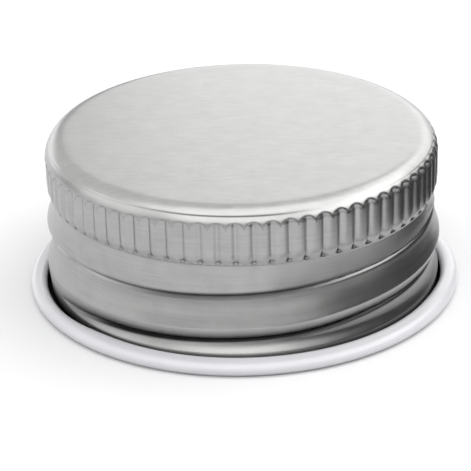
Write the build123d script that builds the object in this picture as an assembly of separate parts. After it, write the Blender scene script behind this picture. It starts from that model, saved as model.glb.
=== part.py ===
from build123d import *
from math import atan2, cos, radians, sin
import os

# Aluminium screw cap for a bottle, drawn from one sheet, with a sealing disc pressed inside.
# Millimetres. Z is the cap's axis, and Z = 0 is the plane that the rolled rim stands on.

# The sheet and the overall form
sheet = 0.25
cap_height = 16.2
shoulder_radius = 2.0

# The grip band under the shoulder: wide rounded ribs between narrow rounded valleys
grip_radius = 19.6
flute_count = 72
flute_depth = 0.5
valley_round = 0.3
grip_low = 11.0
grip_high = 15.05
arch_height = 0.6
grip_run_out = 0.4
valley_run_out = 0.25
rib_overshoot = 0.005
rib_land = 0.08
slot_reach = 0.6

# The smooth neck under the grip, and the skirt that the thread is rolled into. The skirt swells in the middle.
neck_radius = 19.15
neck_low = 9.4
brow_radius = 19.67
brow_height = 7.85
skirt_radius = 19.9
skirt_middle = 4.4
foot_radius = 19.66
foot_flare = 0.1

# The rolled thread: one start, right hand. A crease runs under each rounded ridge.
thread_pitch = 4.5
crease_height_in_front = 3.1
thread_first_angle = -75.0
thread_last_angle = 560.0
thread_fade_in = 35.0
thread_fade_out = 100.0
crease_depth = 0.85
ridge_fall = 1.3
ridge_bulge = 0.15
ledge_fall = 0.3
ledge_width = 0.21
slope_depth = 0.53
slope_fall = 3.1
slope_lowest = 1.0
cut_clearance = 0.02
cut_beyond = 0.6
section_angle = 15.0

# The rim, rolled outward into a hollow bead
bead_height = 1.35
bead_outer_radius = 21.75
bead_edge_radius = 20.1

# The sealing disc
seal_thickness = 1.5
seal_clearance = 0.05


def around(radius, angle, height=0.0):
    """A point at a radius, at an angle in degrees about the axis."""
    return (radius * cos(radians(angle)), radius * sin(radians(angle)), height)


def smooth(share):
    """From 0 to 1 with no corner at either end."""
    share = min(max(share, 0.0), 1.0)
    return share * share * (3 - 2 * share)


# The turned form

def turned_body(inset):
    """The cap as a full turned body, without flutes or thread. The inset takes the sheet off it."""
    grip = grip_radius - inset
    neck = neck_radius - inset
    foot = foot_radius - inset
    skirt = skirt_radius - inset
    brow = brow_radius - inset
    top = cap_height - inset
    corner = shoulder_radius - inset
    wall_foot = bead_height / 2
    with BuildPart() as body:
        with BuildSketch(Plane.XZ):
            with BuildLine():
                Line((0, wall_foot), (foot, wall_foot))
                Spline((foot, wall_foot), (skirt, skirt_middle), (brow, brow_height), (neck, neck_low),
                       tangents=[(foot_flare, 1), (0, 1)])
                Polyline((neck, neck_low), (neck, grip_low - grip_run_out), (grip, grip_low), (grip, top - corner))
                RadiusArc((grip, top - corner), (grip - corner, top), -corner)
                Polyline((grip - corner, top), (0, top), (0, wall_foot))
            make_face()
        revolve(axis=Axis.Z)
    return body.part


# The grip band

def valley_bar(inset, low, high):
    """What one valley takes away, as a bar along Z in front of +X. Rib and valley arcs meet without a corner."""
    half = radians(180 / flute_count)
    rib_top = grip_radius + rib_overshoot - inset
    root = valley_round + inset
    root_centre = grip_radius - flute_depth - inset + root
    bend = 1 - cos(half)
    gap = rib_top - root_centre
    rib = (gap ** 2 + 2 * rib_top * root_centre * bend - root ** 2) / (2 * (gap + root_centre * bend + root))
    rib_centre = around(rib_top - rib, 180 / flute_count)
    # The arcs touch on the line between their centres, and each rib keeps a narrow land at its crest
    share = root / (rib + root)
    touch = (root_centre + share * (rib_centre[0] - root_centre), share * rib_centre[1])
    touch_angle = atan2(touch[1] - rib_centre[1], touch[0] - rib_centre[0])
    crest_angle = half - rib_land / 2 / rib
    flank_angle = (touch_angle + crest_angle) / 2
    crest = (rib_centre[0] + rib * cos(crest_angle), rib_centre[1] + rib * sin(crest_angle))
    flank = (rib_centre[0] + rib * cos(flank_angle), rib_centre[1] + rib * sin(flank_angle))
    outside = grip_radius + flute_depth
    with BuildPart() as bar:
        with BuildSketch(Plane.XY.offset(low)):
            with BuildLine():
                ThreePointArc(touch, (root_centre - root, 0), (touch[0], -touch[1]))
                ThreePointArc((touch[0], -touch[1]), (flank[0], -flank[1]), (crest[0], -crest[1]))
                Polyline((crest[0], -crest[1]), (outside, -crest[1]), (outside, crest[1]), crest)
                ThreePointArc(crest, flank, touch)
            make_face()
        extrude(amount=high - low)
    return bar.part


def arched_slot(low):
    """A slot along a radius with an arched top. It narrows towards the axis, so its walls slope."""
    half_width = grip_radius * sin(radians(180 / flute_count))
    arch = (half_width ** 2 + arch_height ** 2) / (2 * arch_height)
    outlines = []
    for depth in (slot_reach, -slot_reach):
        plane = Plane(origin=(grip_radius - depth, 0, grip_high - arch), x_dir=(0, 1, 0), z_dir=(1, 0, 0))
        size = arch - depth
        foot = low - grip_high + arch
        corners = [plane.from_local_coords(corner) for corner in ((-size, 0), (-size, foot), (size, foot), (size, 0))]
        crown = plane.from_local_coords((0, size))
        outlines.append(Wire([Edge.make_line(corners[0], corners[1]), Edge.make_line(corners[1], corners[2]),
                              Edge.make_line(corners[2], corners[3]),
                              Edge.make_three_point_arc(corners[3], crown, corners[0])]))
    return Solid.make_loft(outlines, ruled=True)


def round_the_grip(piece):
    """The piece repeated over every valley."""
    return [Rot(0, 0, number * 360 / flute_count) * piece for number in range(flute_count)]


# The rolled thread

def crease_section(turn_angle, inset):
    """The groove's outline on a plane through the axis, at an angle counted from the front over all turns."""
    fade_in = smooth((turn_angle - thread_first_angle) / thread_fade_in)
    fade_out = smooth((thread_last_angle - turn_angle) / thread_fade_out)
    height = crease_height_in_front + thread_pitch * turn_angle / 360
    run = min(slope_fall, height - slope_lowest)
    lift = (crease_depth + 3 * cut_clearance) * (1 - fade_in * fade_out)
    edge = skirt_radius - inset + cut_clearance + lift
    floor = edge - crease_depth - cut_clearance
    outside = edge + cut_beyond
    direction = around(1, turn_angle - 90)
    plane = Plane(origin=(0, 0, height), x_dir=direction, z_dir=(-direction[1], direction[0], 0))
    ridge_high = plane.from_local_coords((edge, ridge_fall))
    ridge_side = plane.from_local_coords((edge - crease_depth / 2 + ridge_bulge, ridge_fall / 2))
    crease = plane.from_local_coords((floor, 0))
    ledge = plane.from_local_coords((floor + ledge_width, -ledge_fall))
    slope = plane.from_local_coords((edge - slope_depth, -(run + ledge_fall) / 2))
    slope_low = plane.from_local_coords((edge, -run))
    out_low = plane.from_local_coords((outside, -run))
    out_high = plane.from_local_coords((outside, ridge_fall))
    return Wire([Edge.make_line(out_high, ridge_high), Edge.make_three_point_arc(ridge_high, ridge_side, crease),
                 Edge.make_line(crease, ledge), Edge.make_three_point_arc(ledge, slope, slope_low),
                 Edge.make_line(slope_low, out_low), Edge.make_line(out_low, out_high)])


def thread_groove(inset):
    """The groove lofted through its outlines, up round the wall."""
    steps = round((thread_last_angle - thread_first_angle) / section_angle)
    turn = (thread_last_angle - thread_first_angle) / steps
    return Solid.make_loft([crease_section(thread_first_angle + turn * step, inset) for step in range(steps + 1)])


# The rolled rim

def rim_bead():
    """The wall turns out at its foot, runs round the bead and ends beside the skirt."""
    middle = (bead_outer_radius + bead_edge_radius) / 2
    level = bead_height / 2
    outer_half = (bead_outer_radius - bead_edge_radius) / 2
    inner_half = outer_half - sheet
    inner_level = level - sheet
    inside_wall = foot_radius - sheet
    centre = (middle, level)
    with BuildPart() as bead:
        with BuildSketch(Plane.XZ):
            with BuildLine():
                EllipticalCenterArc(centre, middle - inside_wall, level, 180, arc_size=90)
                EllipticalCenterArc(centre, outer_half, level, 270, arc_size=90)
                EllipticalCenterArc(centre, outer_half, level, 0, arc_size=180)
                Line((bead_edge_radius, level), (bead_edge_radius + sheet, level))
                EllipticalCenterArc(centre, inner_half, inner_level, 0, arc_size=180)
                EllipticalCenterArc(centre, inner_half, inner_level, 270, arc_size=90)
                EllipticalCenterArc(centre, middle - foot_radius, inner_level, 180, arc_size=90)
                Line((inside_wall, level), (foot_radius, level))
            make_face()
        revolve(axis=Axis.Z)
    return bead.part


# The two pieces

def cap_shell():
    """One sheet, drawn, fluted, threaded and rolled at the rim."""
    valley_low = grip_low - valley_run_out
    valley = valley_bar(0.0, valley_low, cap_height) & arched_slot(valley_low - slot_reach)
    outside = turned_body(0.0) - round_the_grip(valley) - thread_groove(0.0)
    inner_rib = valley_bar(sheet, valley_low, cap_height - sheet - shoulder_radius / 2)
    inside = turned_body(sheet) - round_the_grip(inner_rib) - thread_groove(sheet)
    return outside - inside + rim_bead()


def sealing_disc():
    """A soft disc that lies against the inside of the top, gripped by the flutes' inner ribs."""
    radius = grip_radius - flute_depth - sheet - seal_clearance
    edge_round = radius - (grip_radius - shoulder_radius)
    high = cap_height - sheet
    disc = Pos(0, 0, high) * Cylinder(radius, seal_thickness, align=(Align.CENTER, Align.CENTER, Align.MAX))
    return fillet(disc.edges().group_by(Axis.Z)[-1], edge_round)


os.makedirs("parts", exist_ok=True)
export_step(cap_shell(), "parts/cap_shell.step")
export_step(sealing_disc(), "parts/sealing_disc.step")
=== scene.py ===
"""A screw cap of thin aluminium, standing on its rolled white rim, with its soft sealing disc inside."""

import math

import bmesh
import bpy
from mathutils import Matrix


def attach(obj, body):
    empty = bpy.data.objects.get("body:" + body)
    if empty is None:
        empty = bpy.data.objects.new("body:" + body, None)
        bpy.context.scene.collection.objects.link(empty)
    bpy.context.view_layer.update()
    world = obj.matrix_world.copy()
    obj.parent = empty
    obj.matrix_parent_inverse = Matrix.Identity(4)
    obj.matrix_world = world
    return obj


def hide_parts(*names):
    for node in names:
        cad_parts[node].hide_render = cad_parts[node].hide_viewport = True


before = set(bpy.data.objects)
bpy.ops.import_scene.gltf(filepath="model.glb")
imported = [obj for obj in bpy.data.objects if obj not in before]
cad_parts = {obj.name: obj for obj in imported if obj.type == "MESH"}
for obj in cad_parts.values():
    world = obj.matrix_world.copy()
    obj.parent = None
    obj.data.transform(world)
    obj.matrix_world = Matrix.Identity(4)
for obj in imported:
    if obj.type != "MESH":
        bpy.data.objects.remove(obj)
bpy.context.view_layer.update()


# The camera
# It sees the cap from in front and a little above, through a long lens, and leans a touch to one side.

MM = 0.001
CAMERA_PLACE = (-0.8, -201.9, 100.9)
CAMERA_TILT = 64.48
CAMERA_ROLL = -1.46


def shift_to(place):
    """The shift to a place that is given in millimetres."""
    return Matrix.Translation([value * MM for value in place])


def put_in_scene(name, data):
    """An object with this data, linked to the scene."""
    piece = bpy.data.objects.new(name, data)
    bpy.context.scene.collection.objects.link(piece)
    return piece


camera_data = bpy.data.cameras.new("camera")
camera_data.lens = 168.15
camera_data.sensor_width = 36.0
camera_data.clip_start = 0.01
camera_data.clip_end = 20.0
camera = put_in_scene("camera", camera_data)
camera.matrix_world = (shift_to(CAMERA_PLACE)
                       @ Matrix.Rotation(math.radians(CAMERA_TILT), 4, "X")
                       @ Matrix.Rotation(math.radians(CAMERA_ROLL), 4, "Z"))
bpy.context.scene.camera = camera


# The blank
# One round of thin aluminium sheet is drawn into a plain cup: a flat top, a rounded shoulder, and a wall that
# draws in to the neck and swells again in the skirt. Its rim is curled outward until the edge meets the wall.

SHEET = 0.25
CAP_HEIGHT = 16.2
SHOULDER = 2.0
GRIP_RADIUS = 19.6
SKIRT_RADIUS = 19.9
FOOT_RADIUS = 19.66
NECK_RADIUS = 19.13
BEAD_HEIGHT = 1.35
BEAD_OUTER = 21.75
BEAD_EDGE = 20.1

# The plain wall's outside, as heights and radii: the foot, the swell of the skirt, the neck, and the grip
WALL_STATIONS = ((0.665, FOOT_RADIUS), (2.4, 19.82), (4.4, SKIRT_RADIUS), (6.3, 19.84), (7.85, 19.67),
                 (8.6, 19.4), (9.4, 19.15), (9.9, NECK_RADIUS), (10.4, NECK_RADIUS + 0.04),
                 (11.0, NECK_RADIUS + 0.28), (11.4, GRIP_RADIUS - 0.07), (11.9, GRIP_RADIUS),
                 (14.2, GRIP_RADIUS))

# A fine line runs round the shoulder where the roller's flange stopped: each ring's angle up the shoulder,
# how far it is pressed in, and how much painted shade it carries. The painted shade shows only in front.
FINE_LINE = ((45.6, 0.0, 0.0), (44.0, 0.010, 0.55), (42.0, 0.018, 0.8), (40.0, 0.010, 0.55), (38.4, 0.0, 0.0))
FINE_LINE_SHADE_SPAN = (-42, -12, 4, 24)

# In front the curl's edge is pressed nearer to the wall and a little up. The gap beside it is painted
# in shade, which is almost taken out in front. The spans are in degrees from the front: where each begins,
# is full, begins to fade, and ends.
CURL_SHIFT = 0.34
CURL_SHIFT_BEGINS = (-66, -40)
CURL_SHIFT_WANES = (62, 85)
CURL_SHIFT_LOST = 0.7
CURL_RISE = 0.8
CURL_SHADE_LOST_SPAN = (-45, -15, 15, 45)
CURL_SHADE_LOST = 0.95

# Where the mesh's columns stand within one flute, closest together where the valley bends most
FLUTES = 72
FLUTE_STEPS = (-0.43, -0.34, -0.24, -0.16, -0.09, -0.03, 0.03, 0.09, 0.16, 0.24, 0.34, 0.43, 0.5)
PLAIN_COLUMNS = 264
TURN = 2 * math.pi
fluted_columns = sorted((number + 0.5 + step) * TURN / FLUTES % TURN
                        for number in range(FLUTES) for step in FLUTE_STEPS)
plain_columns = [TURN * number / PLAIN_COLUMNS for number in range(PLAIN_COLUMNS)]


def spaced(first, last, steps):
    """Evenly spaced values, both ends among them."""
    return [first + (last - first) * step / steps for step in range(steps + 1)]


def wall_radius(z):
    """The plain wall's outside at a height, on a smooth curve through the stations."""
    if z <= WALL_STATIONS[0][0]:
        return WALL_STATIONS[0][1]
    for number in range(len(WALL_STATIONS) - 1):
        (low, low_radius), (high, high_radius) = WALL_STATIONS[number], WALL_STATIONS[number + 1]
        if z <= high:
            before = WALL_STATIONS[max(number - 1, 0)]
            after = WALL_STATIONS[min(number + 2, len(WALL_STATIONS) - 1)]
            leaving = (high_radius - before[1]) / (high - before[0]) if number else 0.0
            arriving = (after[1] - low_radius) / (after[0] - low)
            if low_radius == high_radius:
                leaving = arriving = 0.0
            span = high - low
            t = (z - low) / span
            return ((2 * t ** 3 - 3 * t ** 2 + 1) * low_radius + (t ** 3 - 2 * t ** 2 + t) * span * leaving
                    + (3 * t ** 2 - 2 * t ** 3) * high_radius + (t ** 3 - t ** 2) * span * arriving)
    return WALL_STATIONS[-1][1]


def oval(middle, level, across, up, first, last, steps):
    """Points on an oval about a centre, from one angle in degrees to another."""
    return [(middle + across * math.cos(math.radians(angle)), level + up * math.sin(math.radians(angle)))
            for angle in spaced(first, last, steps)]


def wall(heights, inset=0.0):
    """Points on the plain wall at these heights, with the inset taken off."""
    return [(wall_radius(z) - inset, z) for z in heights]


def turned(outline, inset=0.0, fluted=False):
    """Rings of the shell, one for each radius and height of the outline."""
    return [(radius, height, inset, fluted) for radius, height in outline]


# The section from the middle of the top, out and down the outside, round the bead, and up the inside. Each
# ring is its radius, its height, the sheet that lies outside it, and whether its columns follow the flutes.
corner = GRIP_RADIUS - SHOULDER
shoulder_level = CAP_HEIGHT - SHOULDER
inner_round = SHOULDER - SHEET
bead_middle = (BEAD_OUTER + BEAD_EDGE) / 2
bead_level = BEAD_HEIGHT / 2
bead_half = (BEAD_OUTER - BEAD_EDGE) / 2
to_wall = bead_middle - FOOT_RADIUS
fine_line_shade = {}

rings = turned([(radius, CAP_HEIGHT) for radius in (4.0, 9.0, 13.5, 16.2, 17.2)])
rings += turned(oval(corner, shoulder_level, SHOULDER, SHOULDER, 90, 48, 8))
# Each ring of the fine line also carries painted shade, which shows only in front
for angle, pressed_in, dark in FINE_LINE:
    fine_line_shade[len(rings)] = dark
    lower = SHOULDER - pressed_in
    rings += turned(oval(corner, shoulder_level, lower, lower, angle, angle, 1)[:1])
rings += turned(oval(corner, shoulder_level, SHOULDER, SHOULDER, 37, 0, 15), fluted=True)
rings += turned(wall(spaced(14.1, 13.8, 3) + spaced(13.3, 11.4, 4) + spaced(11.25, 10.45, 9)), fluted=True)
rings += turned(wall(spaced(10.3, 9.6, 3) + spaced(9.5, 0.85, 86)))
curl_start = len(rings)
rings += turned(oval(bead_middle, bead_level, to_wall, bead_level - SHEET, 180, 270, 5))
curl_inside = len(rings)
rings += turned(oval(bead_middle, bead_level, bead_half - SHEET, bead_level - SHEET, 300, 540, 6))
wall_faces_end = len(rings)
rings += turned(oval(bead_middle, bead_level, bead_half, bead_level, 180, -90, 24))
bead_end = len(rings)
rings += turned(oval(bead_middle, bead_level, to_wall + SHEET, bead_level, 262, 180, 7))
rings += turned(wall(spaced(0.9, 9.6, 32) + [10.2], SHEET), SHEET)
rings += turned(wall(spaced(10.5, 11.25, 3) + spaced(12.0, 13.6, 1), SHEET), SHEET, fluted=True)
rings += turned(oval(corner, shoulder_level, inner_round, inner_round, 0, 34, 6), SHEET, fluted=True)
rings += turned(oval(corner, shoulder_level, inner_round, inner_round, 45, 90, 4), SHEET)
rings += turned([(radius, CAP_HEIGHT - SHEET) for radius in (12.0, 6.0)], SHEET)


def zipper(first, second, first_columns, second_columns):
    """Triangles between two rings whose columns differ, always towards the nearer next column."""
    faces = []
    i = j = 0
    n, m = len(first), len(second)
    first_ahead = first_columns[1:] + [first_columns[0] + TURN, math.inf]
    second_ahead = second_columns[1:] + [second_columns[0] + TURN, math.inf]
    while i < n or j < m:
        if first_ahead[i] <= second_ahead[j]:
            faces.append((first[i % n], second[j % m], first[(i + 1) % n]))
            i += 1
        else:
            faces.append((first[i % n], second[j % m], second[(j + 1) % m]))
            j += 1
    return faces


def eased(value, first, last):
    """From 0 to 1 with no corner, between two values."""
    share = min(max((value - first) / (last - first), 0.0), 1.0)
    return share * share * (3 - 2 * share)


def within(azimuth, begins, full, fades, ends):
    """1 inside a span round the front, and from there to 0 with no corner."""
    return eased(azimuth, begins, full) * (1 - eased(azimuth, fades, ends))


def snug(azimuth):
    """How far the curl's edge lies inside its plain place: it comes closest to the wall in front."""
    kept = 1 - CURL_SHIFT_LOST * eased(azimuth, *CURL_SHIFT_WANES)
    return CURL_SHIFT * eased(azimuth, *CURL_SHIFT_BEGINS) * kept


points = [(0.0, 0.0, CAP_HEIGHT * MM)]
insets = [0.0]
# Each point carries how much painted shade darkens the metal there
shade = [0.0]
faces = []
lacquered = []
before = None
for number, (radius, height, inset, fluted) in enumerate(rings):
    columns = fluted_columns if fluted else plain_columns
    ring = list(range(len(points), len(points) + len(columns)))
    shifts = curl_inside <= number < bead_end
    nearer = min(max((bead_middle - radius) / bead_half, 0.0), 1.0) if shifts else 0.0
    in_gap = curl_start <= number < wall_faces_end
    for a in columns:
        azimuth = math.degrees(math.remainder(a, TURN))
        here = radius - nearer * snug(azimuth)
        up = height + CURL_RISE * nearer * snug(azimuth)
        points.append((here * math.sin(a) * MM, -here * math.cos(a) * MM, up * MM))
        insets.append(inset)
        # The curl's inside, in the gap by the wall, is painted in shade, almost none in front; the other
        # rings take the fine line's painted shade
        if in_gap:
            shade.append(1 - CURL_SHADE_LOST * within(azimuth, *CURL_SHADE_LOST_SPAN))
        else:
            shade.append(fine_line_shade.get(number, 0.0) * within(azimuth, *FINE_LINE_SHADE_SPAN))
    sides = [(i, (i + 1) % len(ring)) for i in range(len(ring))]
    if before is None:
        made = [(0, ring[i], ring[j]) for i, j in sides]
    elif before[1] is columns:
        old = before[0]
        made = [(old[i], ring[i], ring[j], old[j]) for i, j in sides]
    else:
        made = zipper(before[0], ring, before[1], columns)
    faces += made
    lacquered += [number >= wall_faces_end] * len(made)
    before = (ring, columns)
last = before[0]
faces += [(last[i], len(points), last[(i + 1) % len(last)]) for i in range(len(last))]
lacquered += [True] * len(last)
points.append((0.0, 0.0, (CAP_HEIGHT - SHEET) * MM))
insets.append(SHEET)
shade.append(0.0)

blank_mesh = bpy.data.meshes.new("drawn_shell")
blank_mesh.from_pydata(points, [], faces)
for name, kind, domain, values in (("inset", "FLOAT", "POINT", insets),
                                   ("shade", "FLOAT", "POINT", shade),
                                   ("lacquered", "BOOLEAN", "FACE", lacquered)):
    blank_mesh.attributes.new(name, kind, domain).data.foreach_set("value", values)
shell = put_in_scene("drawn_shell", blank_mesh)


# The fluted grip
# Seventy-two shallow valleys are rolled into the wall under the shoulder. Each has a rounded root between
# broad ribs, an arched upper end that runs from crest to crest, and a short steep foot just over the neck.

# One valley from crest to crest, as shares of its width and depth: its left side is the steeper one
VALLEY_SECTION = ((0.0, 0.0), (0.12, 0.02), (0.22, 0.10), (0.30, 0.29), (0.38, 0.60), (0.45, 0.92),
                  (0.50, 1.0), (0.56, 0.90), (0.63, 0.60), (0.71, 0.30), (0.80, 0.11), (0.89, 0.02),
                  (1.0, 0.0))
# Added to the count of flutes passed, so that it is never below nought
WHOLE_FLUTES = 1000.0

# Where the painted shade beside the sharp edge of an arch or a foot begins and ends to fade, in mm
ARCH_SHADE = (0.02, 0.13)
FOOT_SHADE = (0.05, 0.14)
# How far under its line the arch's shade ends, how far down the foot's lies, and how it keeps to the root
ARCH_SHADE_DOWN = 0.15
FOOT_SHADE_DOWN = 0.04
FOOT_SHADE_FOCUS = 1.2
# The painted shade at the left, what it gains to the right, over which turns, and how the foot's follows it
SHADE_AT_LEFT = 0.18
SHADE_GAINED = 0.62
SHADE_GAINS = (-0.03, 0.09)
FOOT_SHADE_SHARE = 0.5
FOOT_SHADE_ADDED = 0.40


def new_tree(name, sizes):
    """A Geometry Nodes tree with a mesh in, a mesh out, and one named input for each size."""
    tree = bpy.data.node_groups.new(name, "GeometryNodeTree")
    tree.interface.new_socket("Mesh", in_out="INPUT", socket_type="NodeSocketGeometry")
    for size, value in sizes.items():
        socket = tree.interface.new_socket(size, in_out="INPUT", socket_type="NodeSocketFloat")
        socket.default_value = value
    tree.interface.new_socket("Mesh", in_out="OUTPUT", socket_type="NodeSocketGeometry")
    return tree, tree.nodes.new("NodeGroupInput"), tree.nodes.new("NodeGroupOutput")


def arithmetic(tree):
    """A function that adds a Math node and gives its result. It takes more than two values one by one."""
    def maths(operation, *values):
        if len(values) > 2:
            values = (maths(operation, *values[:-1]), values[-1])
        node = tree.nodes.new("ShaderNodeMath")
        node.operation = operation
        for number, value in enumerate(values):
            if isinstance(value, (int, float)):
                node.inputs[number].default_value = value
            else:
                tree.links.new(value, node.inputs[number])
        return node.outputs[0]
    return maths


def drawn_curve(tree, factor, stations):
    """A Float Curve node through the stations, each from 0 to 1 both ways."""
    node = tree.nodes.new("ShaderNodeFloatCurve")
    curve = node.mapping.curves[0]
    curve.points[0].location = stations[0]
    curve.points[1].location = stations[-1]
    for station in stations[1:-1]:
        curve.points.new(*station)
    node.mapping.update()
    tree.links.new(factor, node.inputs["Value"])
    return node.outputs[0]


def smooth_step(tree, value, first, last):
    """A Map Range node that goes from 0 to 1 with no corner, between limits that are numbers or sockets."""
    node = tree.nodes.new("ShaderNodeMapRange")
    node.interpolation_type = "SMOOTHSTEP"
    tree.links.new(value, node.inputs["Value"])
    for limit, name in ((first, "From Min"), (last, "From Max")):
        if isinstance(limit, (int, float)):
            node.inputs[name].default_value = limit
        else:
            tree.links.new(limit, node.inputs[name])
    return node.outputs[0]


def smooth_fall(tree, value, first, last):
    """The same from 1 to 0."""
    return arithmetic(tree)("SUBTRACT", 1.0, smooth_step(tree, value, first, last))


def stored(tree, name, kind="FLOAT"):
    """The value of this name that the mesh carries."""
    node = tree.nodes.new("GeometryNodeInputNamedAttribute")
    node.data_type = kind
    node.inputs["Name"].default_value = name
    return node.outputs[0]


def wall_point(tree, maths):
    """Each point's place, its azimuth from the front in turns, its height and radius in mm, and its inset."""
    position = tree.nodes.new("GeometryNodeInputPosition").outputs[0]
    split = tree.nodes.new("ShaderNodeSeparateXYZ")
    tree.links.new(position, split.inputs[0])
    x, y, z = split.outputs
    turns = maths("DIVIDE", maths("ARCTAN2", x, maths("MULTIPLY", y, -1.0)), TURN)
    radius = maths("SQRT", maths("ADD", maths("MULTIPLY", x, x), maths("MULTIPLY", y, y)))
    height, radius = maths("MULTIPLY", z, 1 / MM), maths("MULTIPLY", radius, 1 / MM)
    return position, turns, height, radius, stored(tree, "inset")


def set_radius(tree, mesh, position, radius, new_radius):
    """Moves each point along its radius, so that the wall keeps its thickness, and gives the moved mesh."""
    maths = arithmetic(tree)
    never_nought = maths("MAXIMUM", radius, 0.001)
    scale = maths("DIVIDE", new_radius, never_nought)
    stretch = tree.nodes.new("ShaderNodeCombineXYZ")
    tree.links.new(scale, stretch.inputs[0])
    tree.links.new(scale, stretch.inputs[1])
    stretch.inputs[2].default_value = 1.0
    product = tree.nodes.new("ShaderNodeVectorMath")
    product.operation = "MULTIPLY"
    tree.links.new(position, product.inputs[0])
    tree.links.new(stretch.outputs[0], product.inputs[1])
    move = tree.nodes.new("GeometryNodeSetPosition")
    tree.links.new(mesh, move.inputs["Geometry"])
    tree.links.new(product.outputs[0], move.inputs["Position"])
    return move.outputs[0]


def add_shade(tree, mesh, amount):
    """Keeps the darker of the painted shade that each point already has and this amount, and gives the mesh.
    """
    keep = tree.nodes.new("GeometryNodeStoreNamedAttribute")
    keep.data_type = "FLOAT"
    keep.domain = "POINT"
    keep.inputs["Name"].default_value = "shade"
    tree.links.new(mesh, keep.inputs["Geometry"])
    tree.links.new(arithmetic(tree)("MAXIMUM", stored(tree, "shade"), amount), keep.inputs["Value"])
    return keep.outputs[0]


def finished(tree, mesh):
    """Realize Instances and Set Material at a tree's end, as the node that takes the material."""
    realize = tree.nodes.new("GeometryNodeRealizeInstances")
    tree.links.new(mesh, realize.inputs[0])
    finish = tree.nodes.new("GeometryNodeSetMaterial")
    tree.links.new(realize.outputs[0], finish.inputs["Geometry"])
    return finish


fluting, entry, way_out = new_tree("fluting", {
    "Flute count": float(FLUTES), "Flute depth": 0.27, "Rib sink": 0.05, "Grip radius": GRIP_RADIUS,
    "Arch height": 0.6, "Arch top": 15.05, "Arch slope": 2.2, "Rise to the right": 0.45,
    "Foot height": 10.74, "Foot slope": 3.0})
maths = arithmetic(fluting)
position, turns, height, radius, inset = wall_point(fluting, maths)
size = entry.outputs
flutes_passed = maths("ADD", maths("MULTIPLY", turns, size["Flute count"]), WHOLE_FLUTES)
phase = maths("SUBTRACT", maths("FRACT", flutes_passed), 0.5)
depth_share = drawn_curve(fluting, maths("ADD", phase, 0.5), VALLEY_SECTION)
outside = maths("ADD", radius, inset)
wall_here = maths("MINIMUM", maths("SUBTRACT", size["Grip radius"], size["Rib sink"]), outside)
root = maths("SUBTRACT", wall_here, maths("MULTIPLY", depth_share, size["Flute depth"]))

# The arched upper end is cut by a slope that starts on an arc from crest to crest
half_pitch = maths("DIVIDE", maths("MULTIPLY", size["Grip radius"], math.pi), size["Flute count"])
squares = maths("ADD", maths("POWER", half_pitch, 2.0), maths("POWER", size["Arch height"], 2.0))
arch = maths("DIVIDE", squares, maths("MULTIPLY", size["Arch height"], 2.0))
side = maths("MULTIPLY", maths("MULTIPLY", phase, 2.0), half_pitch)
arc_height = maths("SQRT", maths("SUBTRACT", maths("POWER", arch, 2.0), maths("POWER", side, 2.0)))
rise = maths("MULTIPLY", maths("SINE", maths("MULTIPLY", turns, TURN)), size["Rise to the right"])
arch_line = maths("ADD", size["Arch top"], maths("SUBTRACT", arc_height, arch), rise)
over_arch = maths("MULTIPLY", maths("SUBTRACT", height, arch_line), size["Arch slope"])
under_arch = maths("ADD", size["Grip radius"], over_arch)
under_foot = maths("MULTIPLY", maths("SUBTRACT", size["Foot height"], height), size["Foot slope"])
over_foot = maths("ADD", maths("SUBTRACT", wall_here, size["Flute depth"]), under_foot)
cut = maths("MAXIMUM", root, under_arch, over_foot)
new_radius = maths("SUBTRACT", maths("MINIMUM", outside, cut), inset)
fluted = set_radius(fluting, entry.outputs["Mesh"], position, radius, new_radius)

# The sharp inner edges under each arch and at each foot are painted in shade, darker towards the right
arch_centre = maths("ADD", maths("SUBTRACT", size["Arch top"], arch), rise)
over_centre = maths("MAXIMUM", maths("SUBTRACT", height, arch_centre), 0.0)
from_centre = maths("SQRT", maths("ADD", maths("POWER", side, 2.0), maths("POWER", over_centre, 2.0)))
at_arch = smooth_fall(fluting, maths("ABSOLUTE", maths("SUBTRACT", from_centre, arch)), *ARCH_SHADE)
at_arch = maths("MULTIPLY", at_arch,
                maths("GREATER_THAN", height, maths("SUBTRACT", arch_line, ARCH_SHADE_DOWN)))
from_foot = maths("ADD", maths("SUBTRACT", height, size["Foot height"]), FOOT_SHADE_DOWN)
at_foot = maths("MULTIPLY", smooth_fall(fluting, maths("ABSOLUTE", from_foot), *FOOT_SHADE),
                maths("POWER", depth_share, FOOT_SHADE_FOCUS))
to_right = smooth_step(fluting, turns, *SHADE_GAINS)
strength = maths("ADD", maths("MULTIPLY", to_right, SHADE_GAINED), SHADE_AT_LEFT)
foot_strength = maths("ADD", maths("MULTIPLY", strength, FOOT_SHADE_SHARE), FOOT_SHADE_ADDED)
darkest = maths("MAXIMUM", maths("MULTIPLY", at_arch, strength), maths("MULTIPLY", at_foot, foot_strength))
fluted_finish = finished(fluting, add_shade(fluting, fluted, darkest))
fluting.links.new(fluted_finish.outputs[0], way_out.inputs[0])


# The rolled thread
# One crease runs up round the skirt to the right, a turn and three quarters long, with a steep ledge under
# it and a round ridge over it. It is pressed into the sheet, so the thread stands out on the inner side.

# The crease's section: the height over its root in mm, and the share of its depth
REACH_DOWN = 3.3
REACH_UP = 2.0
CREASE_SECTION = ((-3.3, 0.0), (-2.8, 0.17), (-2.2, 0.38), (-1.6, 0.54), (-0.9, 0.67), (-0.3, 0.74),
                  (-0.12, 0.88), (0.0, 1.0), (0.1, 0.88), (0.25, 0.66), (0.5, 0.42), (0.8, 0.26),
                  (1.2, 0.11), (1.6, 0.03), (2.0, 0.0))

# The crease sags in front on both turns: the spans, in turns from the front, where a sag begins and ends
LOWER_SAG = ((-0.24, -0.14), (0.03, 0.12))
UPPER_SAG = ((0.84, 0.95), (1.02, 1.10))
UPPER_SAG_SHARE = 0.7

# Where the thread is pressed into the wall: between these heights, inside this radius, and less near the foot
THREAD_LOWEST = 0.84
THREAD_HIGHEST = 10.5
THREAD_OUTERMOST = 19.95
FOOT_FADE = (0.74, 2.6)

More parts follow.
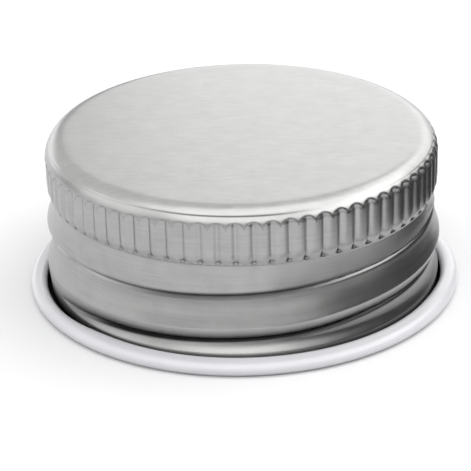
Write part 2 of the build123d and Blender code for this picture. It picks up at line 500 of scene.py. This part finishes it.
# In front the neck comes down to the second turn of the crease: where, in turns and in mm over the crease
NECK_LEFT = (-0.25, -0.11)
NECK_RIGHT = (0.19, 0.33)
NECK_OVER_CREASE = (-0.42, -0.02)

# The painted shade in the root: how far it reaches in mm, and what it gains over each of these spans of turns
ROOT_SHADE = (0.18, 0.46)
LOWER_RIGHT, LOWER_RIGHT_GAIN = (0.07, 0.20), -0.35
UPPER_TURN, UPPER_TURN_GAIN = (0.55, 0.80), 0.20
UPPER_RIGHT, UPPER_RIGHT_GAIN = (1.03, 1.12), -0.45
UPPER_LEFT, UPPER_LEFT_GAIN = (0.83, 0.96), -0.80

# The softer painted shade round the root, on the lower turn and on the upper: its reach up and down, and how
# dark
LOWER_SOFT_UP = (0.2, 1.5)
LOWER_SOFT_DOWN = (-1.0, -0.1)
LOWER_SOFT = 0.45
UPPER_SOFT_UP = (0.05, 0.35)
UPPER_SOFT_DOWN = (-1.9, -0.1)
UPPER_SOFT = 0.34
UPPER_SOFT_LOST = 0.30

# Little light reaches the corner between the wall's foot and the bead at the right, so it is painted in
# shade:
# where the painted shade fades, in mm up and in turns from the front, and how dark it is
CORNER_HEIGHTS = (2.4, 3.7)
CORNER_BEGINS = (0.0, 0.085)
CORNER_ENDS = (0.28, 0.42)
CORNER_SHADE = 0.5

threading, entry, way_out = new_tree("threading", {
    "Pitch": 4.5, "Height in front": 3.1, "Ridge radius": SKIRT_RADIUS, "Crease depth": 0.9,
    "First turn": -75 / 360, "Fade in": 35 / 360, "Last turn": 560 / 360, "Fade out": 100 / 360,
    "Reach down": REACH_DOWN, "Reach up": REACH_UP, "Neck radius": NECK_RADIUS, "Neck drop": 1.0,
    "Sag in front": 0.3})
maths = arithmetic(threading)
position, turns, height, radius, inset = wall_point(threading, maths)
size = entry.outputs
reach = maths("ADD", size["Reach down"], size["Reach up"])
depths = []
shades = []
for lap in (-1.0, 0.0, 1.0):
    total = maths("ADD", turns, lap)
    lower_sag = maths("MULTIPLY", smooth_fall(threading, total, *LOWER_SAG[1]), size["Sag in front"],
                      smooth_step(threading, total, *LOWER_SAG[0]))
    in_upper_sag = maths("MULTIPLY", smooth_step(threading, total, *UPPER_SAG[0]),
                         smooth_fall(threading, total, *UPPER_SAG[1]))
    upper_sag = maths("MULTIPLY", in_upper_sag, maths("MULTIPLY", size["Sag in front"], UPPER_SAG_SHARE))
    climb = maths("ADD", size["Height in front"], maths("MULTIPLY", total, size["Pitch"]))
    over_crease = maths("SUBTRACT", height, maths("SUBTRACT", climb, maths("ADD", lower_sag, upper_sag)))
    share = maths("DIVIDE", maths("ADD", over_crease, size["Reach down"]), reach)
    section = drawn_curve(threading, share, [((over + REACH_DOWN) / (REACH_DOWN + REACH_UP), depth)
                                             for over, depth in CREASE_SECTION])
    begins = smooth_step(threading, maths("SUBTRACT", total, size["First turn"]), 0.0, size["Fade in"])
    ends = smooth_step(threading, maths("SUBTRACT", size["Last turn"], total), 0.0, size["Fade out"])
    depths.append(maths("MULTIPLY", section, begins, ends))
    # The root of the crease is painted in shade, most of all in front
    in_root = smooth_fall(threading, maths("ABSOLUTE", over_crease), *ROOT_SHADE)
    upper = smooth_step(threading, total, *UPPER_TURN)
    at_right = smooth_step(threading, total, *UPPER_RIGHT)
    at_left = maths("MULTIPLY", upper, smooth_fall(threading, total, *UPPER_LEFT))
    gain = maths("ADD", maths("MULTIPLY", smooth_step(threading, total, *LOWER_RIGHT), LOWER_RIGHT_GAIN),
                 maths("MULTIPLY", upper, UPPER_TURN_GAIN))
    side_gain = maths("ADD", maths("MULTIPLY", at_right, UPPER_RIGHT_GAIN),
                      maths("MULTIPLY", at_left, UPPER_LEFT_GAIN))
    dark = maths("MULTIPLY", in_root, maths("ADD", maths("ADD", gain, side_gain), 1.0))
    near_lower = maths("MULTIPLY", smooth_fall(threading, over_crease, *LOWER_SOFT_UP),
                       smooth_step(threading, over_crease, *LOWER_SOFT_DOWN),
                       maths("SUBTRACT", LOWER_SOFT, maths("MULTIPLY", upper, LOWER_SOFT)))
    under_upper = maths("MULTIPLY", smooth_fall(threading, over_crease, *UPPER_SOFT_UP),
                        smooth_step(threading, over_crease, *UPPER_SOFT_DOWN))
    lost = maths("MULTIPLY", maths("ADD", at_right, at_left), UPPER_SOFT_LOST)
    near_upper = maths("MULTIPLY", under_upper, maths("MULTIPLY", upper, maths("SUBTRACT", UPPER_SOFT, lost)))
    soft_dark = maths("MAXIMUM", near_lower, near_upper)
    shades.append(maths("MULTIPLY", maths("MAXIMUM", dark, soft_dark), maths("MULTIPLY", begins, ends)))
over_foot = smooth_step(threading, height, *FOOT_FADE)
pressed = maths("MULTIPLY", maths("MAXIMUM", *depths), over_foot, size["Crease depth"])
ridge_cut = maths("SUBTRACT", size["Ridge radius"], pressed)

# The last lap's crease is the second turn, and the neck comes down to it with no ridge over it
in_front = maths("MULTIPLY", smooth_step(threading, turns, *NECK_LEFT),
                 smooth_fall(threading, turns, *NECK_RIGHT), size["Neck drop"])
on_neck = maths("MULTIPLY", smooth_step(threading, over_crease, *NECK_OVER_CREASE), in_front)
to_neck = maths("SUBTRACT", size["Ridge radius"], size["Neck radius"])
neck_cut = maths("SUBTRACT", size["Ridge radius"], maths("MULTIPLY", on_neck, to_neck))
outside = maths("MINIMUM", maths("ADD", radius, inset), maths("MINIMUM", ridge_cut, neck_cut))
pressed_wall = maths("SUBTRACT", outside, inset)
on_wall = maths("MULTIPLY", maths("GREATER_THAN", height, THREAD_LOWEST),
                maths("LESS_THAN", radius, THREAD_OUTERMOST), maths("LESS_THAN", height, THREAD_HIGHEST))
new_radius = maths("ADD", maths("MULTIPLY", on_wall, maths("SUBTRACT", pressed_wall, radius)), radius)
threaded = set_radius(threading, entry.outputs["Mesh"], position, radius, new_radius)
# The corner at the wall's foot, at the right, is painted in shade
in_corner = maths("MULTIPLY", smooth_step(threading, turns, *CORNER_BEGINS),
                  smooth_fall(threading, turns, *CORNER_ENDS))
corner_shade = maths("MULTIPLY", smooth_fall(threading, height, *CORNER_HEIGHTS), in_corner, CORNER_SHADE)
darkest = maths("MAXIMUM", maths("MAXIMUM", *shades), corner_shade)
threaded = add_shade(threading, threaded, maths("MULTIPLY", darkest, on_wall))


# The metal and its lacquer
# Bare rolled aluminium outside, with the straight grain of the sheet on the top and fine rings from the
# drawing on the wall. Inside, and on the bead that turns the inner side out, it is coated white.

METAL_DARK = (0.27, 0.27, 0.267, 1.0)
METAL_LIGHT = (0.50, 0.50, 0.494, 1.0)
# The colour that painted shade gives the metal in creases, gaps and corners
METAL_IN_SHADE = (0.012, 0.012, 0.012, 1.0)
METAL_ROUGHNESS = (0.27, 0.39)
RINGS_UP = 2200.0
GRAIN_ALONG = 500.0
GRAIN_ACROSS = 2400.0
TOP_GRAIN_FROM = (15.5 * MM, 16.1 * MM)
WALL_RELIEF = 0.25
LACQUER_DARK = (0.47, 0.47, 0.493, 1.0)
LACQUER_LIGHT = (0.54, 0.54, 0.558, 1.0)


def new_material(name):
    """A material, its node tree, its shader, and a function that adds Math nodes."""
    material = bpy.data.materials.new(name)
    material.use_nodes = True
    tree = material.node_tree
    return material, tree, tree.nodes["Principled BSDF"], arithmetic(tree)


def grain(tree, vector, scale, detail, roughness=0.6):
    """A Noise Texture node's value on a vector."""
    node = tree.nodes.new("ShaderNodeTexNoise")
    node.inputs["Scale"].default_value = scale
    node.inputs["Detail"].default_value = detail
    node.inputs["Roughness"].default_value = roughness
    tree.links.new(vector, node.inputs["Vector"])
    return node.outputs["Fac"]


def stretched(tree, parts):
    """Three values joined as one vector."""
    node = tree.nodes.new("ShaderNodeCombineXYZ")
    for number, part in enumerate(parts):
        tree.links.new(part, node.inputs[number])
    return node.outputs[0]


def blended(tree, factor, first, second):
    """A colour between two, each of them a colour or a socket."""
    node = tree.nodes.new("ShaderNodeMix")
    node.data_type = "RGBA"
    tree.links.new(factor, node.inputs["Factor"])
    for colour, socket in ((first, node.inputs[6]), (second, node.inputs[7])):
        if isinstance(colour, tuple):
            socket.default_value = colour
        else:
            tree.links.new(colour, socket)
    return node.outputs[2]


def raise_relief(tree, shader, height, strength, depth):
    """Bumps a shader's surface by a height, of which 1 is this depth in mm."""
    relief = tree.nodes.new("ShaderNodeBump")
    relief.inputs["Strength"].default_value = strength
    relief.inputs["Distance"].default_value = depth * MM
    tree.links.new(height, relief.inputs["Height"])
    tree.links.new(relief.outputs[0], shader.inputs["Normal"])


aluminium, tree, metal, maths = new_material("brushed_aluminium")
place = tree.nodes.new("ShaderNodeTexCoord").outputs["Object"]
split = tree.nodes.new("ShaderNodeSeparateXYZ")
tree.links.new(place, split.inputs[0])
x, y, z = split.outputs
angle = maths("ARCTAN2", x, maths("MULTIPLY", y, -1.0))
on_top = smooth_step(tree, z, *TOP_GRAIN_FROM)
round_and_up = stretched(tree, (maths("SINE", angle), maths("COSINE", angle), maths("MULTIPLY", z, RINGS_UP)))
drawn_rings = grain(tree, round_and_up, scale=2.6, detail=4.0)
along_sheet = stretched(tree, (maths("MULTIPLY", x, GRAIN_ALONG), maths("MULTIPLY", y, GRAIN_ACROSS), z))
sheet_grain = grain(tree, along_sheet, scale=1.0, detail=3.0)
mottle = grain(tree, place, scale=420.0, detail=4.0, roughness=0.65)
either = tree.nodes.new("ShaderNodeMix")
tree.links.new(on_top, either.inputs["Factor"])
tree.links.new(drawn_rings, either.inputs[2])
tree.links.new(sheet_grain, either.inputs[3])
lines = either.outputs[0]
toned = maths("ADD", maths("MULTIPLY", lines, 0.5), maths("MULTIPLY", mottle, 0.5))
# The mesh's shade is painted shade: it darkens the metal towards METAL_IN_SHADE
in_shade = tree.nodes.new("ShaderNodeAttribute")
in_shade.attribute_name = "shade"
lit_colour = blended(tree, toned, METAL_DARK, METAL_LIGHT)
colour = blended(tree, in_shade.outputs["Fac"], lit_colour, METAL_IN_SHADE)
tree.links.new(colour, metal.inputs["Base Color"])
metal.inputs["Metallic"].default_value = 1.0
gloss = tree.nodes.new("ShaderNodeMapRange")
gloss.inputs["To Min"].default_value = METAL_ROUGHNESS[0]
gloss.inputs["To Max"].default_value = METAL_ROUGHNESS[1]
glossed = maths("ADD", maths("MULTIPLY", lines, 0.6), maths("MULTIPLY", mottle, 0.4))
tree.links.new(glossed, gloss.inputs["Value"])
tree.links.new(gloss.outputs[0], metal.inputs["Roughness"])
rough_here = maths("ADD", maths("MULTIPLY", on_top, 1.0 - WALL_RELIEF), WALL_RELIEF)
marks = maths("MULTIPLY", maths("ADD", lines, maths("MULTIPLY", mottle, 0.6)), rough_here)
raise_relief(tree, metal, marks, strength=0.5, depth=0.016)

lacquer, tree, paint, maths = new_material("white_lacquer")
place = tree.nodes.new("ShaderNodeTexCoord").outputs["Object"]
cloud = grain(tree, place, scale=160.0, detail=3.0)
tree.links.new(blended(tree, cloud, LACQUER_DARK, LACQUER_LIGHT), paint.inputs["Base Color"])
paint.inputs["Roughness"].default_value = 0.32
paint.inputs["Coat Weight"].default_value = 0.25
orange_peel = grain(tree, place, scale=2600.0, detail=2.0)
raise_relief(tree, paint, orange_peel, strength=0.2, depth=0.01)


# Finishing the shell
# The flutes and the thread are rolled into the blank, outside and inside at once. Its outer side is left bare
# and its inner side, with the bead, is coated.

fluted_finish.inputs["Material"].default_value = aluminium
bare = finished(threading, threaded)
bare.inputs["Material"].default_value = aluminium
coated = threading.nodes.new("GeometryNodeSetMaterial")
coated.inputs["Material"].default_value = lacquer
threading.links.new(stored(threading, "lacquered", "BOOLEAN"), coated.inputs["Selection"])
threading.links.new(bare.outputs[0], coated.inputs["Geometry"])
threading.links.new(coated.outputs[0], way_out.inputs[0])


def plain_mesh(piece, trees):
    """Runs the trees on a piece, keeps the result as a plain mesh and takes the modifiers off."""
    for tree in trees:
        piece.modifiers.new(tree.name, "NODES").node_group = tree
    graph = bpy.context.evaluated_depsgraph_get()
    made = bpy.data.meshes.new_from_object(piece.evaluated_get(graph))
    piece.modifiers.clear()
    piece.data = made
    made.name = piece.name


plain_mesh(shell, (fluting, threading))
bm = bmesh.new()
bm.from_mesh(shell.data)
bmesh.ops.recalc_face_normals(bm, faces=bm.faces)
bm.to_mesh(shell.data)
bm.free()
shell.data.shade_smooth()
for name in ("inset", "lacquered"):
    spent = shell.data.attributes.get(name)
    if spent is not None:
        shell.data.attributes.remove(spent)
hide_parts("cap_shell")
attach(shell, "root")


# The sealing disc
# A disc of soft white foam, pressed in until it lies against the inside of the top. Its upper edge follows
# the shoulder, and its lower face shows the closed skin of the foam with fine cells under it.

DISC_THICK = 1.5
DISC_RADIUS = 18.78
DISC_LOW_ROUND = 0.22
DISC_HIGH_ROUND = 1.2
DISC_SIDE = 1.25
DISC_COLUMNS = 144
FOAM_DARK = (0.80, 0.79, 0.76, 1.0)
FOAM_LIGHT = (0.88, 0.87, 0.84, 1.0)

disc_top = CAP_HEIGHT - SHEET
disc_low = disc_top - DISC_THICK
disc_rings = [(radius, disc_low) for radius in (6.0, 12.0, 17.6)]
disc_rings += oval(DISC_RADIUS - DISC_LOW_ROUND, disc_low + DISC_LOW_ROUND,
                   DISC_LOW_ROUND, DISC_LOW_ROUND, -90, 0, 4)
disc_rings += [(DISC_RADIUS, disc_top - DISC_SIDE)]
disc_rings += oval(DISC_RADIUS - DISC_HIGH_ROUND, disc_top - DISC_HIGH_ROUND,
                   DISC_HIGH_ROUND, DISC_HIGH_ROUND, 0, 90, 8)
disc_rings += [(radius, disc_top) for radius in (12.0, 6.0)]
spokes = [(math.cos(TURN * i / DISC_COLUMNS), math.sin(TURN * i / DISC_COLUMNS)) for i in range(DISC_COLUMNS)]
sides = [(i, (i + 1) % DISC_COLUMNS) for i in range(DISC_COLUMNS)]
bm = bmesh.new()
low_middle = bm.verts.new((0.0, 0.0, disc_low * MM))
old = None
for radius, height in disc_rings:
    ring = [bm.verts.new((radius * x * MM, radius * y * MM, height * MM)) for x, y in spokes]
    for i, j in sides:
        if old is None:
            bm.faces.new((low_middle, ring[i], ring[j]))
        else:
            bm.faces.new((old[i], ring[i], ring[j], old[j]))
    old = ring
high_middle = bm.verts.new((0.0, 0.0, disc_top * MM))
for i, j in sides:
    bm.faces.new((old[i], high_middle, old[j]))
bmesh.ops.recalc_face_normals(bm, faces=bm.faces)
disc_mesh = bpy.data.meshes.new("foam_disc")
bm.to_mesh(disc_mesh)
bm.free()
disc_mesh.shade_smooth()
disc = put_in_scene("foam_disc", disc_mesh)

foam, tree, soft, maths = new_material("foam")
place = tree.nodes.new("ShaderNodeTexCoord").outputs["Object"]
cells = tree.nodes.new("ShaderNodeTexVoronoi")
cells.inputs["Scale"].default_value = 3200.0
tree.links.new(place, cells.inputs["Vector"])
toned = maths("ADD", maths("MULTIPLY", cells.outputs["Distance"], 0.6),
              maths("MULTIPLY", grain(tree, place, scale=300.0, detail=3.0), 0.4))
tree.links.new(blended(tree, toned, FOAM_DARK, FOAM_LIGHT), soft.inputs["Base Color"])
soft.inputs["Roughness"].default_value = 0.75
soft.inputs["Specular IOR Level"].default_value = 0.3
raise_relief(tree, soft, cells.outputs["Distance"], strength=0.5, depth=0.05)
disc_mesh.materials.append(foam)
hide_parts("sealing_disc")
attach(disc, "root")


# The table top and the studio
# A plain white sheet to stand on, in a pale room, with seven soft lights round and above the cap. Two bent
# black cards, which only the metal's reflections show, draw its dark side at the right.

TABLE_REACH = 3000
CARD_FOOT = 0.3
CARDS = (("tall_card", ((29, -46), (38, -23), (34, -2), (30, 14)), 17),
         ("low_card", ((5.2, -28.2), (12, -27.2), (19, -23.5), (26, -15), (29.5, -5), (29, 8)), 3.1))

# Each light's name, its place, the point that it faces, its width and height, and its power
LIGHTS = (("overhead", (70, -70, 500), (60, -35, 0), 920, 400, 1.35),
          ("in_front", (-60, -430, 330), (0, 0, 10), 620, 300, 0.72),
          ("behind", (200, 460, 155), (0, 0, 10), 540, 210, 0.52),
          ("right_high", (430, -120, 330), (0, 0, 12), 640, 260, 1.0),
          ("behind_high", (330, 270, 400), (0, 0, 12), 400, 220, 0.44),
          ("behind_left", (-290, 400, 60), (0, 0, 10), 300, 130, 0.20),
          ("left", (-430, -60, 180), (0, 0, 5), 380, 300, 0.28))

# The room's left and right walls and its ceiling, and where one passes into the next
ROOM_LEFT = (0.46, 0.46, 0.465, 1.0)
ROOM_RIGHT = (0.30, 0.30, 0.30, 1.0)
ROOM_CEILING = (1.08, 1.08, 1.08, 1.0)
TO_THE_RIGHT = (0.05, 0.60)
UPWARD = (0.05, 0.50)


def matt_material(name, colour):
    """A plain dull material for what stands round the cap."""
    material, _, shader, _ = new_material(name)
    shader.inputs["Base Color"].default_value = colour
    shader.inputs["Roughness"].default_value = 0.9
    return material


def studio_sheet(name, corners, sides, material):
    """A thin sheet that isn't part of the cap."""
    mesh = bpy.data.meshes.new(name)
    mesh.from_pydata([(x * MM, y * MM, z * MM) for x, y, z in corners], [], sides)
    mesh.materials.append(material)
    piece = put_in_scene(name, mesh)
    return piece


def soft_light(name, place, target, width, height, power):
    """A rectangular light that faces a point."""
    data = bpy.data.lights.new(name, "AREA")
    data.shape = "RECTANGLE"
    data.size = width * MM
    data.size_y = height * MM
    data.energy = power
    here = shift_to(place)
    facing = (here.translation - shift_to(target).translation).to_track_quat("Z", "Y")
    put_in_scene(name, data).matrix_world = here @ facing.to_matrix().to_4x4()


table_corners = [(x * TABLE_REACH, y * TABLE_REACH, 0) for x, y in ((-1, -1), (1, -1), (1, 1), (-1, 1))]
studio_sheet("table", table_corners, [(0, 1, 2, 3)], matt_material("white_paper", (0.635, 0.635, 0.64, 1.0)))

card_black = matt_material("card_black", (0.02, 0.02, 0.02, 1.0))
for name, bends, card_top in CARDS:
    n = len(bends)
    card = studio_sheet(name, [(x, y, z) for z in (CARD_FOOT, card_top) for x, y in bends],
                        [(i, i + 1, i + 1 + n, i + n) for i in range(n - 1)], card_black)
    card.visible_camera = False
    card.visible_shadow = False
    card.visible_diffuse = False

for light in LIGHTS:
    soft_light(*light)

world = bpy.data.worlds.new("room")
world.use_nodes = True
room = world.node_tree
direction = room.nodes.new("ShaderNodeTexCoord").outputs["Generated"]
split = room.nodes.new("ShaderNodeSeparateXYZ")
room.links.new(direction, split.inputs[0])
x, y, z = split.outputs
walls = blended(room, smooth_step(room, x, *TO_THE_RIGHT), ROOM_LEFT, ROOM_RIGHT)
whole_room = blended(room, smooth_step(room, z, *UPWARD), walls, ROOM_CEILING)
room.links.new(whole_room, room.nodes["Background"].inputs["Color"])
bpy.context.scene.world = world
bpy.context.scene.view_settings.view_transform = "Standard"
